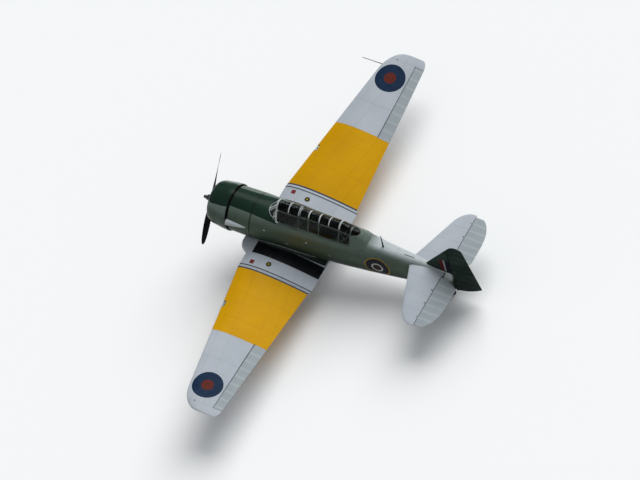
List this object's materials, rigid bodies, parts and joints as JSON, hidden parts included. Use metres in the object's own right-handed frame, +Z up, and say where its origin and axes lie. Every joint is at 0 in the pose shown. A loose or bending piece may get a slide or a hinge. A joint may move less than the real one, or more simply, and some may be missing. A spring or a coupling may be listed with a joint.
{
  "type": "low-wing training aeroplane",
  "caption": "Low-wing monoplane trainer with a radial engine, tandem seats under a sliding framed canopy, split flaps and a tailwheel gear, parked on its wheels",
  "frame": {"origin": "on the floor under the middle of the aeroplane's box, in its parked attitude with the nose up 10 degrees", "axes": "+X forward to the nose, +Y to port (the wing's span), +Z up"},
  "size_m": [8.7788, 12.8, 3.009],
  "materials": {
    "silver_paint": "satin silver-grey paint",
    "silver_fabric": "doped fabric in silver-grey",
    "dark_green_paint": "semi-gloss dark green paint",
    "grey_green_paint": "semi-gloss grey-green paint",
    "light_grey_paint": "satin light grey paint",
    "black_paint": "satin black paint",
    "interior_green_paint": "matt interior green paint",
    "engine_grey": "painted castings",
    "burnt_steel": "heat-stained steel",
    "bare_steel": "bare steel",
    "wheel_aluminium": "cast aluminium",
    "tyre_rubber": "black rubber",
    "clear_glazing": "clear glazing"
  },
  "bodies": {
    "airframe": {"accessory_cowl": "grey_green_paint", "air_scoop": "light_grey_paint", "canopy_middle_frame": "light_grey_paint", "canopy_middle_glass": "clear_glazing", "canopy_tail_frame": "light_grey_paint", "canopy_tail_glass": "clear_glazing", "cockpit_floor": "interior_green_paint", "cockpit_section": "grey_green_paint", "control_stick_front": "black_paint", "control_stick_rear": "black_paint", "engine_cowling": "dark_green_paint", "exhaust_stack": "burnt_steel", "fin": "dark_green_paint", "instrument_panel_front": "black_paint", "instrument_panel_rear": "black_paint", "landing_light_left": "clear_glazing", "landing_light_right": "clear_glazing", "main_gear_leg_left": "silver_paint", "main_gear_leg_right": "silver_paint", "outer_wing_left": "silver_paint", "outer_wing_right": "silver_paint", "pitot_tube": "bare_steel", "radial_engine": "engine_grey", "radio_mast": "black_paint", "rear_fuselage": "grey_green_paint", "seat_front": "interior_green_paint", "seat_rear": "interior_green_paint", "stabilizer": "silver_paint", "turnover_frame": "interior_green_paint", "windscreen_frame": "light_grey_paint", "windscreen_glass": "clear_glazing", "wing_center_section": "silver_paint"},
    "propeller": {"propeller_hub": "bare_steel", "propeller_blade_1": "black_paint", "propeller_blade_2": "black_paint"},
    "main_wheel_left": {"main_wheel_left_tire": "tyre_rubber", "main_wheel_left_hub": "wheel_aluminium"},
    "main_wheel_right": {"main_wheel_right_tire": "tyre_rubber", "main_wheel_right_hub": "wheel_aluminium"},
    "tail_fork": {"tail_wheel_fork": "engine_grey"},
    "tail_wheel": {"tail_wheel_tire": "tyre_rubber", "tail_wheel_hub": "wheel_aluminium"},
    "rudder": {"rudder": "dark_green_paint"},
    "elevators": {"elevator_left": "silver_fabric", "elevator_right": "silver_fabric", "elevator_torque_tube": "bare_steel"},
    "aileron_left": {"aileron_left": "silver_fabric"},
    "aileron_right": {"aileron_right": "silver_fabric"},
    "flap_center": {"flap_center": "silver_paint"},
    "flap_left": {"flap_left": "silver_paint"},
    "flap_right": {"flap_right": "silver_paint"},
    "canopy_front": {"canopy_front_frame": "light_grey_paint", "canopy_front_glass": "clear_glazing"},
    "canopy_rear": {"canopy_rear_frame": "light_grey_paint", "canopy_rear_glass": "clear_glazing"}
  },
  "joints": [
    {"name": "propeller_spin", "type": "hinge", "parent": "airframe", "child": "propeller", "pos_m": [4.13243, 0, 2.01581], "axis": [0.9848, 0, 0.1736], "continuous": true},
    {"name": "main_wheel_left_spin", "type": "hinge", "parent": "airframe", "child": "main_wheel_left", "pos_m": [2.68976, 1.285, 0.35], "axis": [0, 1, 0], "continuous": true},
    {"name": "main_wheel_right_spin", "type": "hinge", "parent": "airframe", "child": "main_wheel_right", "pos_m": [2.68976, -1.285, 0.35], "axis": [0, 1, 0], "continuous": true},
    {"name": "tail_wheel_swivel", "type": "hinge", "parent": "airframe", "child": "tail_fork", "pos_m": [-3.09667, 0, 0.16], "axis": [0, 0, 1], "continuous": true},
    {"name": "tail_wheel_spin", "type": "hinge", "parent": "tail_fork", "child": "tail_wheel", "pos_m": [-3.19666, 0, 0.16], "axis": [0, 1, 0], "continuous": true},
    {"name": "rudder_hinge", "type": "hinge", "parent": "airframe", "child": "rudder", "pos_m": [-3.65068, 0, 1.15122], "axis": [-0.1736, 0, 0.9848], "range_deg": [-35, 35]},
    {"name": "elevator_hinge", "type": "hinge", "parent": "airframe", "child": "elevators", "pos_m": [-3.40083, 0, 1.13943], "axis": [0, 1, 0], "range_deg": [-20, 30]},
    {"name": "aileron_left_hinge", "type": "hinge", "parent": "airframe", "child": "aileron_left", "pos_m": [0.89908, 4.93, 1.18782], "axis": [-0.0193, 0.9938, 0.1093], "range_deg": [-22, 22]},
    {"name": "aileron_right_hinge", "type": "hinge", "parent": "airframe", "child": "aileron_right", "pos_m": [0.89908, -4.93, 1.18782], "axis": [0.0193, 0.9938, -0.1093], "range_deg": [-22, 22]},
    {"name": "flap_center_hinge", "type": "hinge", "parent": "airframe", "child": "flap_center", "pos_m": [1.0297, 0, 0.75224], "axis": [0, 1, 0], "range_deg": [-45, 0]},
    {"name": "flap_left_hinge", "type": "hinge", "parent": "airframe", "child": "flap_left", "pos_m": [1.00576, 2.59, 0.88803], "axis": [-0.0208, 0.9928, 0.1182], "range_deg": [-45, 0]},
    {"name": "flap_right_hinge", "type": "hinge", "parent": "airframe", "child": "flap_right", "pos_m": [1.00576, -2.59, 0.88803], "axis": [0.0208, 0.9928, -0.1182], "range_deg": [-45, 0]},
    {"name": "front_canopy_slide", "type": "slide", "parent": "airframe", "child": "canopy_front", "axis": [-0.9848, 0, -0.1736], "range_m": [0, 0.6]},
    {"name": "rear_canopy_slide", "type": "slide", "parent": "airframe", "child": "canopy_rear", "axis": [0.9848, 0, 0.1736], "range_m": [0, 0.6]}
  ],
  "couplings": [
    {"joint": "aileron_right_hinge", "follows": "aileron_left_hinge", "ratio": -1},
    {"joint": "flap_left_hinge", "follows": "flap_center_hinge", "ratio": 1},
    {"joint": "flap_right_hinge", "follows": "flap_center_hinge", "ratio": 1}
  ]
}
